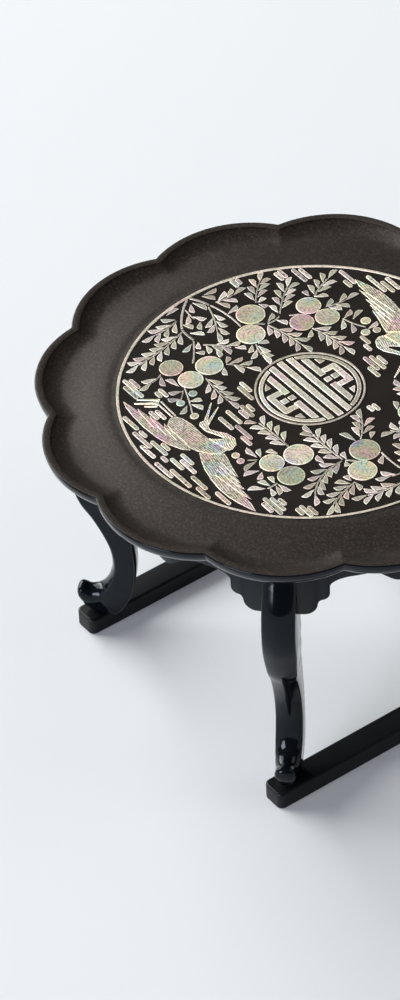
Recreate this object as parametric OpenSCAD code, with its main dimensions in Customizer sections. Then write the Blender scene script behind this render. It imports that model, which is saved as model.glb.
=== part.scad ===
// Low tray table (soban): a twelve-lobed dished lacquer top with cut shell inlay,
// on four cabriole legs with upturned toes, joined by cusped aprons and two floor runners.
// Millimetres, +Z up, origin on the floor under the middle of the top. The runners lie along Y.

/* [Table] */
// Height from the floor to the top of the rim
table_h = 203; // [180:1:240]
// Distance of the four legs' toe line from the middle, along the diagonal
foot_reach = 137.5; // [125:0.5:150]

/* [Tray] */
// Diameter across two opposite lobe tips
tray_d = 330; // [300:1:360]
// How far a lobe swells beyond the cusps beside it
lobe_swell = 14.4; // [9:0.1:20]
// Number of lobes
lobe_count = 12; // [8:4:16]
// Thickness of the tray from its underside to the top of the rim
tray_t = 13; // [11:0.5:18]
// Width of the flat band round the rim
band_w = 4.9; // [3:0.1:8]
// Height of the upright outer wall of the rim
wall_h = 5.4; // [3:0.1:7]
// How far the wall leans in towards its lower edge
wall_lean = 1; // [0:0.1:2]
// Width of the carved underside of the rim, from the wall to the flat bottom
under_w = 13; // [8:0.5:20]
// Depth of the cove below the rim band
cove_d = 4; // [2:0.1:6]
// Upright step at the inner edge of the band
band_step = 0.8; // [0.3:0.1:1.5]
// Width of the curved foot of the band
cove_w = 12; // [6:0.5:18]
// Width of the curved rise from the cove to the inlaid field
rise_w = 17; // [8:0.5:22]
// Rounding of the rim's upper outer edge
rim_r = 0.8; // [0.2:0.1:1.5]

/* [Inlaid field] */
// Radius of the inlaid field, to the outside of its border ring
field_r = 115.1; // [105:0.1:118]
// Plain margin of the tray outside the border ring
field_margin = 1.7; // [0.5:0.1:3]
// How far the field lies below the rim band
field_drop = 0.5; // [0.2:0.1:1.5]
// Thickness of the lacquer ground
ground_t = 0.5; // [0.3:0.1:1]
// Thickness of the shell
shell_t = 0.4; // [0.2:0.1:0.8]
// Width of the border ring
border_w = 1.7; // [1:0.1:3]
// Clearance round a shell piece that is let in beside another
shell_gap = 0.1; // [0.05:0.01:0.3]

/* [Medallion] */
// Outer radius of the medallion
medal_r = 33; // [28:0.5:36]
// Width of its thin outer ring
medal_ring_w = 1.1; // [0.6:0.1:2]
// Gap between the thin ring and the broad band
medal_gap = 1.6; // [0.8:0.1:3]
// Width of the broad band
medal_band_w = 2.3; // [1.5:0.1:3.5]
// Width of a fret bar
bar_w = 3.9; // [2.5:0.1:4.4]
// Distance from one fret bar to the next
bar_pitch = 6.7; // [6:0.1:7.5]

/* [Legs] */
// Width of a leg across the shoulder
shoulder_w = 20; // [16:0.5:24]
// Width of a leg at the ankle
ankle_w = 16.4; // [12:0.2:20]
// Width of the toe
toe_w = 13.2; // [9:0.2:16]
// How far the front of a leg bows out between its edges
front_bow = 3.6; // [1:0.1:5]
// Radius of the leg's inner corners
back_r = 1.6; // [0.5:0.1:3]

/* [Aprons] */
// Radius of the aprons' outer face
apron_r = 138; // [134:0.5:142]
// Thickness of an apron
apron_t = 7; // [4:0.5:9]
// Depth of an apron at the legs
apron_h = 41.7; // [36:0.1:50]
// How far an apron enters the groove in the leg
tongue = 2.6; // [1.5:0.1:4]
// Clearance round the apron's end in its groove
groove_gap = 0.15; // [0.05:0.05:0.4]
// Distance from the leg's middle to the edge of the first scroll
scroll_1 = 22; // [20:0.5:26]
// Distance from the leg's middle to the edge of the second scroll
scroll_2 = 29.3; // [28:0.1:36]
// Height from the first scroll's lower edge to the second's
scroll_rise = 10; // [9:0.5:14]
// Height of the arches above the first scroll's lower edge
arch_rise = 27.6; // [24:0.1:32]
// How far the drop below each lobe hangs from the arch
drop_depth = 10.8; // [4:0.1:16]
// Half width of that drop
drop_half = 18.5; // [10:0.5:22]

/* [Runners] */
// Width of a runner
runner_w = 17.1; // [14:0.1:22]
// Height of a runner
runner_h = 11.4; // [8:0.1:16]
// Length of a runner past the middle of each foot
runner_over = 12.2; // [6:0.1:20]
// Radius of a runner's corners, seen from above
runner_r = 4; // [1:0.5:7]
// Eased upper edge of a runner
runner_ease = 1.5; // [0.3:0.1:3]

/* [Pegs] */
// Diameter of the dowels between the legs and the tray
dowel_d = 6; // [4:0.5:8]
// Length of a dowel inside the leg
dowel_l = 12; // [8:1:20]
// Length of a dowel inside the tray
dowel_up = 5; // [3:0.5:7]
// Diameter of the pegs through the runners
peg_d = 5; // [3:0.5:7]
// Length of a peg inside the foot
peg_l = 9; // [5:0.5:11]
// Distance of a peg inside the toe line, along the diagonal
peg_in = 4; // [2:0.5:8]

/* [Hidden] */
$fn = 96;

// Small overlap that keeps cutters clear of the faces they open
over = 1;
lacquer_black = "#15161a";
lacquer_brown = "#3d3733";
ground_black = "#1d1815";
pearl = "#dcd8c4";
pearl_green = "#c6d3c0";
pearl_pink = "#dcc6c6";
bamboo = "#b79a5e";

// Levels
under_z = table_h - tray_t;
floor_z = table_h - cove_d;
field_z = table_h - field_drop;
ground_z = field_z - shell_t;
leg_h = under_z - runner_h;

// ---------------------------------------------------------------- tray

// A lobe is an arc through two cusps, seen from above.
lobe_a = 360 / lobe_count;
chord_r = tray_d / 2 - lobe_swell;
half_chord = chord_r * tan(lobe_a / 2);
lobe_r = (pow(half_chord, 2) + pow(lobe_swell, 2)) / (2 * lobe_swell);
lobe_c = tray_d / 2 - lobe_r;
lobe_steps = 12;

// Radius of the arc that rises by h over a width w from a level start
function rise_radius(w, h) = (w * w + h * h) / (2 * h);

// Height of that arc at a distance x from its level start
function rise_at(x, w, h) = let (r = rise_radius(w, h)) r - sqrt(r * r - x * x);

// Distance from the middle to a line that runs d inside the rim, at an angle a to a lobe's tip
function lobe_reach(a, d) =
    lobe_c * cos(a) + sqrt(max(0, pow(lobe_r - d, 2) - pow(lobe_c * sin(a), 2)));

function lobe_ring(d, z) = [
    for (i = [0 : lobe_count - 1], k = [0 : lobe_steps - 1])
        let (a = lobe_a * (k / lobe_steps - 0.5), turn = lobe_a * (i + k / lobe_steps))
        [lobe_reach(a, d) * cos(turn), lobe_reach(a, d) * sin(turn), z]];

// Section of the rim, from the cove's floor over the band and down to the flat underside:
// distance inside the rim, height
arc_steps = 5;
cove_rise = cove_d - band_step;
under_rise = tray_t - wall_h;
rim_section = concat(
    [for (k = [0 : arc_steps]) let (x = cove_w * k / arc_steps)
        [band_w + cove_w - x, floor_z + rise_at(x, cove_w, cove_rise)]],
    [[band_w, table_h]],
    [for (a = [90 : -30 : 0]) [rim_r * (1 - cos(a)), table_h - rim_r * (1 - sin(a))]],
    [for (k = [arc_steps : -1 : 0]) let (x = under_w * k / arc_steps)
        [wall_lean + under_w - x, under_z + rise_at(x, under_w, under_rise)]]);

// Section of the raised field's curved rise, from its edge out to the cove's floor:
// radius, height
edge_r = field_r + field_margin;
rise_section = [
    for (k = [arc_steps : -1 : 0]) let (x = rise_w * k / arc_steps)
        [edge_r + rise_w - x, floor_z + rise_at(x, rise_w, cove_d - field_drop)]];

function round_ring(r, z) = [
    for (i = [0 : lobe_count * lobe_steps - 1]) let (turn = lobe_a * i / lobe_steps)
        [r * cos(turn), r * sin(turn), z]];

module tray() {
    color(lacquer_brown) difference() {
        loft([for (p = rise_section) round_ring(p[0], p[1]),
              for (p = rim_section) lobe_ring(p[0], p[1])]);
        translate([0, 0, ground_z - ground_t]) cylinder(r = field_r, h = cove_d);
        at_legs() translate([dowel_u, 0, under_z - over])
            cylinder(d = dowel_d, h = dowel_up + over);
    }
}

// ---------------------------------------------------------------- legs

// Places of the four feet and of the runners that join them
runner_x = foot_reach / sqrt(2);
// Stations down a leg: front offset and height, back offset and height, half width, and how
// far the section has turned from a box with a bowed front (0) to an oval (1).
// Offsets are from foot_reach along the diagonal; heights are shares of the leg's height.
half_top = shoulder_w / 2;
half_ankle = ankle_w / 2;
half_toe = toe_w / 2;
stations = [
    [10.0, 1.000, -10.5, 1.000, half_top, 0], [14.3, 0.860, -10.0, 0.871, half_top, 0],
    [15.4, 0.720, -10.0, 0.765, half_top, 0], [12.8, 0.608, -12.5, 0.675, half_top, 0],
    [7.8, 0.516, -16.5, 0.586, (half_top + half_ankle) / 2, 0],
    [0.9, 0.446, -20.0, 0.490, half_ankle, 0], [-5.1, 0.373, -22.7, 0.395, half_ankle, 0],
    [-9.4, 0.300, -24.7, 0.306, half_ankle, 0], [-10.6, 0.227, -25.3, 0.227, half_ankle, 0],
    [-8.8, 0.177, -24.5, 0.166, half_ankle, 0], [-6.2, 0.142, -22.5, 0.107, half_ankle, 0],
    [-3.0, 0.118, -19.0, 0.057, half_ankle, 0.1], [1.0, 0.106, -11.5, 0.000, half_ankle, 0.3],
    [4.7, 0.104, 0.5, 0.000, (half_ankle + half_toe) / 2, 0.6],
    [7.6, 0.113, 7.3, 0.016, half_toe, 0.9], [10.0, 0.113, 10.2, 0.040, half_toe, 1],
    [12.1, 0.094, 12.2, 0.064, half_toe * 0.8, 1], [12.8, 0.083, 12.8, 0.078, half_toe * 0.4, 1]];
leg_steps = 2;

// Smooth curve through four numbers, from b at t = 0 to c at t = 1
function spline(a, b, c, d, t) =
    b + 0.5 * t * (c - a + t * (2 * a - 5 * b + 4 * c - d + t * (3 * (b - c) + d - a)));

function clamped(i) = stations[max(0, min(len(stations) - 1, i))];

function station(i, t) = [
    for (k = [0 : 5]) k > 3
        ? clamped(i)[k] + (clamped(i + 1)[k] - clamped(i)[k]) * t * t * (3 - 2 * t)
        : spline(clamped(i - 1)[k], clamped(i)[k], clamped(i + 1)[k], clamped(i + 2)[k], t)];

// Outline of one section, [distance from the back, sideways]: a flat back and a bowed front,
// turned by the share oval into an oval of the same depth and width
function leg_box(depth, half, bow, r) = concat(
    [[0, r - half], [0.3 * r, 0.3 * r - half], [r, -half]],
    [for (k = [-4 : 4]) [depth - bow * k * k / 16, half * k / 4]],
    [[r, half], [0.3 * r, half - 0.3 * r], [0, half - r]]);

function leg_outline(depth, half, bow, r, oval) =
    let (box = leg_box(depth, half, bow, r), middle = (len(box) - 1) / 2)
    [for (k = [0 : len(box) - 1]) let (a = (k - middle) / (middle + 1) * 180)
        box[k] * (1 - oval) + [depth / 2 * (1 + cos(a)), half * sin(a)] * oval];

function leg_ring(s) =
    let (front = [s[0], s[1] * leg_h], back = [s[2], max(0, s[3]) * leg_h],
         depth = norm(front - back), dir = (front - back) / depth,
         bow = min(front_bow * s[4] / half_top, depth * 0.45),
         r = min(back_r, depth * 0.25, s[4] * 0.4))
    [for (p = leg_outline(depth, s[4], bow, r, s[5]))
        [foot_reach + back[0] + dir[0] * p[0], p[1], runner_h + back[1] + dir[1] * p[0]]];

// Closed skin over a row of rings with the same number of points each
module loft(rings) {
    n = len(rings[0]);
    m = len(rings);
    walls = [for (i = [0 : m - 2], j = [0 : n - 1], half = [0, 1])
        let (a = i * n + j, b = i * n + (j + 1) % n)
        half == 0 ? [a, b, a + n] : [b, b + n, a + n]];
    first = [[for (j = [n - 1 : -1 : 0]) j]];
    last = [[for (j = [0 : n - 1]) (m - 1) * n + j]];
    polyhedron([for (ring = rings) each ring], concat(walls, first, last));
}

leg_rings = [
    for (i = [0 : len(stations) - 2], k = [0 : leg_steps - 1]) leg_ring(station(i, k / leg_steps)),
    leg_ring(stations[len(stations) - 1])];

// Middle of the leg's top, and of its sole, along the diagonal
dowel_u = foot_reach + (stations[0][0] + stations[0][2]) / 2;
peg_u = foot_reach - peg_in;

// Walls of the grooves that hold the aprons' ends, measured along the diagonal
groove_in = sqrt(pow(apron_r - apron_t, 2) - pow(half_top, 2)) - groove_gap;
groove_out = apron_r + groove_gap;

module leg() {
    color(lacquer_black) difference() {
        loft(leg_rings);
        translate([dowel_u, 0, under_z - dowel_l]) cylinder(d = dowel_d, h = dowel_l + over);
        translate([peg_u, 0, runner_h - over]) cylinder(d = peg_d, h = peg_l + over);
        for (side = [-1, 1])
            translate([(groove_in + groove_out) / 2, side * (half_top - tongue / 2 + over / 2),
                       under_z - apron_h / 2 + over / 2])
                cube([groove_out - groove_in, tongue + over, apron_h + over], center = true);
    }
}

module at_legs() {
    for (i = [0 : 3]) rotate([0, 0, 45 + 90 * i]) children();
}

module leg_front_right() rotate([0, 0, -45]) leg();
module leg_back_right() rotate([0, 0, 45]) leg();
module leg_back_left() rotate([0, 0, 135]) leg();
module leg_front_left() rotate([0, 0, -135]) leg();

// ---------------------------------------------------------------- aprons

// Half of an apron's lower edge, from the leg to the middle: distance from the leg's middle
// along the outer face, and height above the apron's lowest edge. Two stepped scrolls stand
// by the leg, the edge rises to an arch, and a drop hangs below the tray's next lobe.
function quarter(x, y, rx, ry, from, to, steps) = [
    for (i = [0 : steps]) let (a = from + (to - from) * i / steps) [x + rx * cos(a), y + ry * sin(a)]];

end_s = half_top - tongue + groove_gap;
middle_s = apron_r * PI / 4;
drop_s = apron_r * PI / 180 * lobe_a;
scroll_1_r = 8;
scroll_1_lean = 0.9;
scroll_2_r = 5;
scroll_2_up = 6;
arch_half = 14;
arch_lean = 0.1;
arch_curve = 6.8;
arch_s = scroll_2 + arch_half;
edge_step = 3;

function hang(s) = abs(s - drop_s) < drop_half
    ? arch_rise - drop_depth * (1 + cos(180 * (s - drop_s) / drop_half)) / 2
    : arch_rise;

half_edge = concat(
    [[end_s, 0]],
    quarter(scroll_1 - scroll_1_r, scroll_1_r, scroll_1_r, scroll_1_r, 270, 360, 5),
    [[scroll_1 + scroll_1_lean, scroll_rise]],
    quarter(scroll_2 - scroll_2_r, scroll_rise + scroll_2_up, scroll_2_r, scroll_2_r, 270, 360, 4),
    quarter(arch_s, arch_rise - arch_curve, arch_half - arch_lean, arch_curve, 180, 90, 5),
    [for (s = [arch_s + edge_step : edge_step : middle_s - edge_step / 2]) [s, hang(s)]],
    [[middle_s, hang(middle_s)]]);

half_points = len(half_edge);
edge = concat(half_edge,
    [for (i = [half_points - 2 : -1 : 0]) [2 * middle_s - half_edge[i][0], half_edge[i][1]]]);

// Board bent round the table: ring is its cross-section at one point of the lower edge
function apron_ring(p) =
    let (a = p[0] / apron_r * 180 / PI - 45, low = under_z - apron_h + p[1], r = apron_r)
    [for (q = [[r, low], [r, under_z], [r - apron_t, under_z], [r - apron_t, low]])
        [q[0] * cos(a), q[0] * sin(a), q[1]]];

module apron() color(lacquer_black) loft([for (p = edge) apron_ring(p)]);

module apron_right() apron();
module apron_back() rotate([0, 0, 90]) apron();
module apron_left() rotate([0, 0, 180]) apron();
module apron_front() rotate([0, 0, -90]) apron();

// ---------------------------------------------------------------- runners

module rounded_plan(x, y, r) {
    square([x - 2 * r, y], center = true);
    square([x, y - 2 * r], center = true);
    for (sx = [-1, 1], sy = [-1, 1]) translate([sx * (x / 2 - r), sy * (y / 2 - r)]) circle(r);
}

// Section across a bar of width w, with both upper edges eased
module eased_section(w) {
    polygon([[-w / 2, 0], [w / 2, 0], [w / 2, runner_h - runner_ease],
             [w / 2 - runner_ease, runner_h], [runner_ease - w / 2, runner_h],
             [-w / 2, runner_h - runner_ease]]);
}

module runner() {
    runner_l = 2 * (runner_x + runner_over);
    color(lacquer_black) difference() {
        intersection() {
            linear_extrude(runner_h) rounded_plan(runner_w, runner_l, runner_r);
            rotate([90, 0, 0]) linear_extrude(runner_l, center = true) eased_section(runner_w);
            rotate([90, 0, 90]) linear_extrude(runner_w, center = true) eased_section(runner_l);
        }
        for (side = [-1, 1])
            translate([(peg_u - foot_reach) / sqrt(2), side * peg_u / sqrt(2), -over])
                cylinder(d = peg_d, h = runner_h + 2 * over);
    }
}

module runner_right() translate([runner_x, 0, 0]) runner();
module runner_left() mirror([1, 0, 0]) translate([runner_x, 0, 0]) runner();

// ---------------------------------------------------------------- pegs

module top_dowels() {
    color(bamboo) at_legs() translate([dowel_u, 0, under_z - dowel_l])
        cylinder(d = dowel_d - 2 * shell_gap, h = dowel_l + dowel_up);
}

module foot_pegs() {
    color(bamboo) at_legs() translate([peg_u, 0, 0])
        cylinder(d = peg_d - 2 * shell_gap, h = runner_h + peg_l);
}

// ---------------------------------------------------------------- inlay

// Scale of the drawn pieces: their places and sizes are set out for a field of this radius
drawn_r = 115.1;
art = field_r / drawn_r;

module shell_plate() translate([0, 0, ground_z]) linear_extrude(shell_t) children();

module twice() {
    children();
    rotate([0, 0, 180]) children();
}

module ring(outer, width, h) {
    difference() {
        cylinder(r = outer, h = h);
        translate([0, 0, -over]) cylinder(r = outer - width, h = h + 2 * over);
    }
}

module lacquer_ground() {
    color(ground_black) translate([0, 0, ground_z - ground_t])
        cylinder(r = field_r - border_w - shell_gap, h = ground_t);
}

module border_ring() {
    color(pearl) translate([0, 0, ground_z - ground_t])
        ring(field_r - shell_gap, border_w - shell_gap, ground_t + shell_t);
}

module medallion_ring() {
    color(pearl) translate([0, 0, ground_z]) ring(medal_r, medal_ring_w, shell_t);
}

// Middle of the medallion: three long bars, and above and below them a broken bar,
// a square arch with a block below it and a dash on each side
band_r = medal_r - medal_ring_w - medal_gap;
fret_r = band_r - medal_band_w;
bar_gap = bar_pitch - bar_w;

module bar(x, y, length, height = bar_w) translate([x, y]) square([length, height], center = true);

module medallion_band() {
    cut_y = 3 * bar_pitch - bar_w + 2 * bar_gap - bar_w / 2;
    color(pearl) translate([0, 0, ground_z]) difference() {
        ring(band_r, medal_band_w, shell_t);
        translate([0, 0, shell_t / 2]) cube([3 * band_r, cut_y, 3 * shell_t], center = true);
    }
}

module fret_half() {
    row = 2 * bar_pitch;
    arch_y = 3.5 * bar_pitch;
    for (side = [-1, 1]) {
        bar(side * (bar_w / 2 + bar_gap + fret_r / 2), row, fret_r);
        bar(side * 2 * bar_w, arch_y - bar_w, bar_w, 2 * bar_w);
        bar(side * (3 * bar_w + bar_gap + fret_r / 4), row + bar_pitch, fret_r / 2);
    }
    bar(0, row, bar_w);
    bar(0, arch_y, 5 * bar_w);
    bar(0, row + bar_pitch - bar_gap / 2, bar_w);
}

module medallion_fret() {
    color(pearl) shell_plate() {
        intersection() {
            circle(band_r);
            for (k = [-1 : 1]) bar(0, k * bar_pitch, 3 * band_r);
        }
        intersection() {
            circle(fret_r - bar_gap / 2);
            twice() fret_half();
        }
    }
}

// Groups drawn twice are repeated by half a turn; the others stand once.
// Peaches and berries: x, y, radius
peaches_twice = [[-54.5, -34, 8.4], [-51, -50.3, 7.6], [-67, -53, 7.2]];
peaches_once = [
    [-77, 13.5, 8.9], [-62, 2.5, 8.8], [-61.5, 45.5, 7.7], [-46, 48, 7.5], [-51.5, 33, 7.5],
    [64, -8.5, 9.1], [77.5, -20.5, 8.6], [43, -41, 8.9], [39, -57.5, 7.4], [55, -55.5, 8.1]];
berries = [
    [-23, -68, 2.6], [-37.5, -67.5, 2.5], [-40, -56.7, 2.6], [27, 59.6, 2.6], [37.6, 62.4, 2.5],
    [40.8, 54, 2.4], [-28.5, 63.7, 3.1], [-17.5, 63.6, 2.4], [-20, 57, 2.8], [20.5, -70, 2.4],
    [26.2, -70.7, 2.3]];

module discs(list) for (p = list * art) translate([p[0], p[1]]) circle(p[2]);

module peaches() {
    color(pearl_pink) shell_plate() {
        twice() discs(peaches_twice);
        discs(peaches_once);
    }
}

module berries() {
    color(pearl) shell_plate() {
        discs(berries);
    }
}

// Boughs and twigs: from x, y to x, y, bulge to the left, width, number of the first leaf
// place used (-1 for no leaves), and 1 where a leaf ends the twig
twigs_twice = [
    [-112.6, -6.2, -100.2, -0.6, 0.6, 1.3, -1, 0], [-99.2, -0.2, -72, 2.2, 1.4, 0.9, -1, 0],
    [-98.8, -2, -77, -11.5, 0.8, 0.8, 2, 1], [-112.4, -8, -92.2, -26.6, -1.5, 1.3, -1, 0],
    [-91.2, -27.2, -79.6, -27.4, -0.3, 1.2, -1, 0], [-78.7, -27.9, -62.5, -40.2, 0.5, 1, -1, 0],
    [-89.7, -28.8, -81.5, -66, 1.4, 0.8, 0, 1],
    [-100.2, -25, -97.6, -42.2, 0.8, 0.7, 0, 1], [-105, -14.6, -95, -15.3, -0.3, 0.7, 1, 0],
    [-72.2, -25.4, -59.8, -13.8, 0.8, 0.7, 1, 0], [-66.3, -61.2, -63.4, -69.6, 0.6, 0.8, 0, 1]];
twigs_once = [
    [-46.4, -42.4, -22, -44.3, -0.5, 0.8, 0, 1], [46.4, 42.4, 35.4, 43.5, -0.2, 0.8, 0, 1],
    [-47.6, -57.4, -26.3, -67.2, 0.4, 0.8, -1, 0], [-45.8, -59.8, -40.2, -65.3, 0.3, 0.6, -1, 0],
    [46, 57.2, 30.4, 59.8, 0.4, 0.8, -1, 0],
    [-84, 22.6, -98, 35.8, 0.6, 0.8, 0, 1], [-68.2, 10.8, -64.3, 14.9, 0.1, 1.1, -1, 0],
    [-63.6, 16.4, -64.8, 26, -0.9, 0.9, -1, 0], [-66.4, 27.8, -83.5, 45.8, 0.8, 0.8, 1, 1],
    [-62.4, 15.7, -35.8, 20.4, 1, 0.8, 1, 1], [-99.6, 4, -98.4, 16.1, -0.4, 0.7, 0, 1],
    [-66.2, 53.6, -74.5, 70, 0.8, 0.8, 0, 1], [-53.6, 54.2, -51.6, 66, -0.4, 0.8, 1, 1],
    [-39, 54.4, -24, 60.2, -1, 0.7, -1, 0], [-43.4, 34.6, -18, 38.8, 1, 0.8, 0, 1],
    [-58.9, 36.4, -61.6, 31, 0.2, 0.6, -1, 0], [-52.6, -0.6, -42.8, -3.6, -0.4, 0.8, 0, 1],
    [-49, -25.4, -39.5, -17.8, 0.6, 0.7, 0, 1],
    [54.8, -4.4, 42, 6.4, -0.6, 0.8, 0, 1], [68.4, -18.2, 64, -22.6, 0.1, 1, -1, 0],
    [62.4, -23.6, 34, -23.6, 0.8, 0.8, 0, 1], [63.4, -24.8, 76.6, -54.4, -4, 0.8, 0, 1],
    [82.6, -30, 90, -51, -0.8, 0.8, 0, 1], [100, -8, 96.4, -31, 1.2, 0.8, 0, 1],
    [33.4, -41.2, 6, -42.2, -0.5, 0.8, 0, 0], [31.4, -62.4, 28.2, -67, 0.1, 0.7, -1, 0],
    [55.4, -65.8, 55.4, -72.8, 0.1, 0.8, -1, 0],
    [93.3, -3.4, 92, -10.2, 0.4, 0.6, 1, 1]];

// A twig as an arc: [centre x, centre y, radius, start angle, swept angle]
function twig_arc(w) =
    let (from = [w[0], w[1]] * art, to = [w[2], w[3]] * art, chord = to - from, c = norm(chord),
         b = abs(w[4]) * art, r = (c * c / 4 + b * b) / (2 * b), side = sign(w[4]),
         left = [-chord[1], chord[0]] / c, centre = (from + to) / 2 - left * side * (r - b),
         start = atan2(from[1] - centre[1], from[0] - centre[0]))
    [centre[0], centre[1], r, start, -side * 2 * asin(c / (2 * r))];

module twig(w) {
    t = twig_arc(w);
    translate([t[0], t[1], ground_z]) rotate([0, 0, min(t[3], t[3] + t[4])])
        rotate_extrude(angle = abs(t[4])) translate([t[2] - w[5] / 2, 0]) square([w[5], shell_t]);
}

// One leaf from its stalk end along +X: narrow at the stalk, full on one side towards the tip.
// Its outline is in shares of its length and width.
leaf_shape = [[0, 0], [0.25, 0.36], [0.5, 0.84], [0.68, 1], [0.84, 0.78], [1, 0],
              [0.62, -0.16], [0.25, -0.1]];
leaf_l = 9.8 * art;
leaf_w = 2.9 * art;
// Angle of a leaf to its twig, and the distance from one leaf to the next along it
leaf_turn = 42;
leaf_pitch = 3.1 * art;
// Shortening of a leaf from one to the next, in rounds of three
leaf_less = 0.06;
// Share of the pitch from a twig's foot to its first leaf
leaf_start = 0.35;
// Gap between a twig's end and the leaf that ends it
end_gap = 3 * shell_gap;

module leaf(length) polygon([for (p = leaf_shape) [p[0] * length, p[1] * leaf_w]]);

// Leaf beside or at the end of a twig, share f along it; side is 1, -1 or 0 for the end
module leaf_at(w, f, side, length) {
    t = twig_arc(w);
    a = t[3] + t[4] * f;
    translate([t[0] + t[2] * cos(a), t[1] + t[2] * sin(a)])
        rotate(a + 90 * sign(t[4]) + side * leaf_turn)
            translate([side == 0 ? end_gap : w[5] + shell_gap, 0])
                mirror([0, side > 0 ? 1 : 0]) leaf(length);
}

// Leaves stand alternately along both sides of a twig
module twig_leaves(w) {
    t = twig_arc(w);
    places = abs(t[4]) * PI / 180 * t[2] / leaf_pitch;
    if (w[6] >= 0) for (i = [w[6] : places - 1])
        leaf_at(w, (i + leaf_start) / places, i % 2 == 0 ? 1 : -1,
                leaf_l * (1 - leaf_less * (i % 3)));
    if (w[7] == 1) leaf_at(w, 1, 0, leaf_l);
}

// Leaves that stand alone: from x, y to x, y, and 1 where the full side is on the left
lone_twice = [
    [-108.1, -7.3, -97, -4.6, 1], [-107.4, -9, -99.6, -11.6, 0], [-108.4, -26.6, -108.7, -17, 1],
    [-101.5, -24.8, -107.4, -31.5, 1], [-95.3, -24.1, -87.8, -21.6, 1],
    [-85.9, -25.2, -78.7, -19.4, 1], [-76.2, -26.4, -69.8, -28.8, 0],
    [-70.9, -24.4, -63.4, -27.9, 1], [-64, -22.2, -56.4, -25, 1],
    [-77.1, -30.4, -74.9, -39.1, 1], [-69.3, -33.2, -64.3, -30.1, 1],
    [-47.8, -28.2, -40.3, -30.7, 0], [-90.9, -14.1, -84, -17.6, 0]];
lone_once = [
    [-109.6, 2.4, -110.1, 12.1, 0], [-109.3, 0.9, -101.5, 5.3, 1], [-86.1, 3, -89.2, 12, 0],
    [-99, 4.5, -89.5, 7.3, 1], [-49.7, -25, -54.6, -21, 0], [-52.8, 0.9, -48.4, 6.2, 1],
    [-53.5, -2.6, -49.4, -9, 1], [-58.2, -12.2, -52.6, -7.8, 1],
    [-64.8, 17.4, -69.8, 24.2, 0], [-62.9, 22.4, -55.2, 25, 1], [-62.1, 14.9, -54.3, 10.3, 1],
    [-68.4, 51.5, -74.5, 50.2, 0], [-66, 53.5, -60.8, 60.4, 1], [-53.9, 52.8, -58.4, 60.1, 0],
    [-52.1, 54, -45.3, 58.9, 1], [-67.6, 27.4, -76.5, 26.8, 0], [-83.4, 23.7, -82.8, 29.8, 1],
    [-81.5, 23.1, -77, 27, 0], [-38.4, 54.6, -42.8, 62.9, 0], [-42.4, 33.5, -38.2, 27.2, 1],
    [-34.7, 58.6, -37.3, 68.4, 1], [-21.6, 60.1, -23.8, 68.4, 0], [-38.4, 54, -31.3, 47.3, 1],
    [-31.9, 55.4, -24.4, 50.4, 1],
    [-35.6, -62.3, -30.9, -56.3, 1], [-32.8, -63.2, -24.4, -60.8, 1],
    [-45.6, -60.6, -50, -67.5, 1], [-40.2, -65.6, -45.6, -71.3, 1],
    [-33.4, -65.6, -30, -73.6, 1], [-50.3, -59.2, -60.3, -62.2, 0],
    [5.2, -43, 0.6, -49.4, 0], [34.5, -49.8, 29, -54.5, 0],
    [31, -59.7, 24.7, -55.3, 1], [29.7, -61.4, 19, -60.8, 1],
    [32.2, -63.4, 35, -74.2, 0], [40, -67.2, 37.8, -77.2, 0], [41.9, -66.8, 45, -72.8, 1],
    [54.2, -66.8, 47.5, -67.2, 0],
    [54.6, -70.2, 47.2, -74.1, 0], [55, -73.8, 49, -82.6, 0], [56.4, -66, 65.4, -63.2, 0],
    [56.6, -67.8, 64, -71, 1], [56.2, -71.4, 62.4, -75, 1],
    [54.4, -7.6, 43.4, -11.5, 0], [58, 0.6, 55.3, 6, 1], [63.6, -21.8, 57.8, -18.8, 1],
    [64.8, -23.2, 68.2, -26.4, 1], [58.9, -33.9, 50.3, -33, 1], [80.6, -31, 74.9, -32.9, 0],
    [82.2, -33, 76, -39.8, 0], [83, -30.1, 90.3, -32.6, 1], [74, -2.9, 80.6, -7.9, 0]];

module lone_leaf(v) {
    d = [v[2] - v[0], v[3] - v[1]] * art;
    translate([v[0], v[1]] * art) rotate(atan2(d[1], d[0]))
        mirror([0, 1 - v[4]]) leaf(norm(d));
}

module boughs() {
    color(pearl) {
        twice() for (w = twigs_twice) twig(w);
        for (w = twigs_once) twig(w);
    }
}

module leaves() {
    color(pearl_green) shell_plate() {
        twice() for (w = twigs_twice) twig_leaves(w);
        for (w = twigs_once) twig_leaves(w);
        twice() for (v = lone_twice) lone_leaf(v);
        for (v = lone_once) lone_leaf(v);
    }
}

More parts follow.
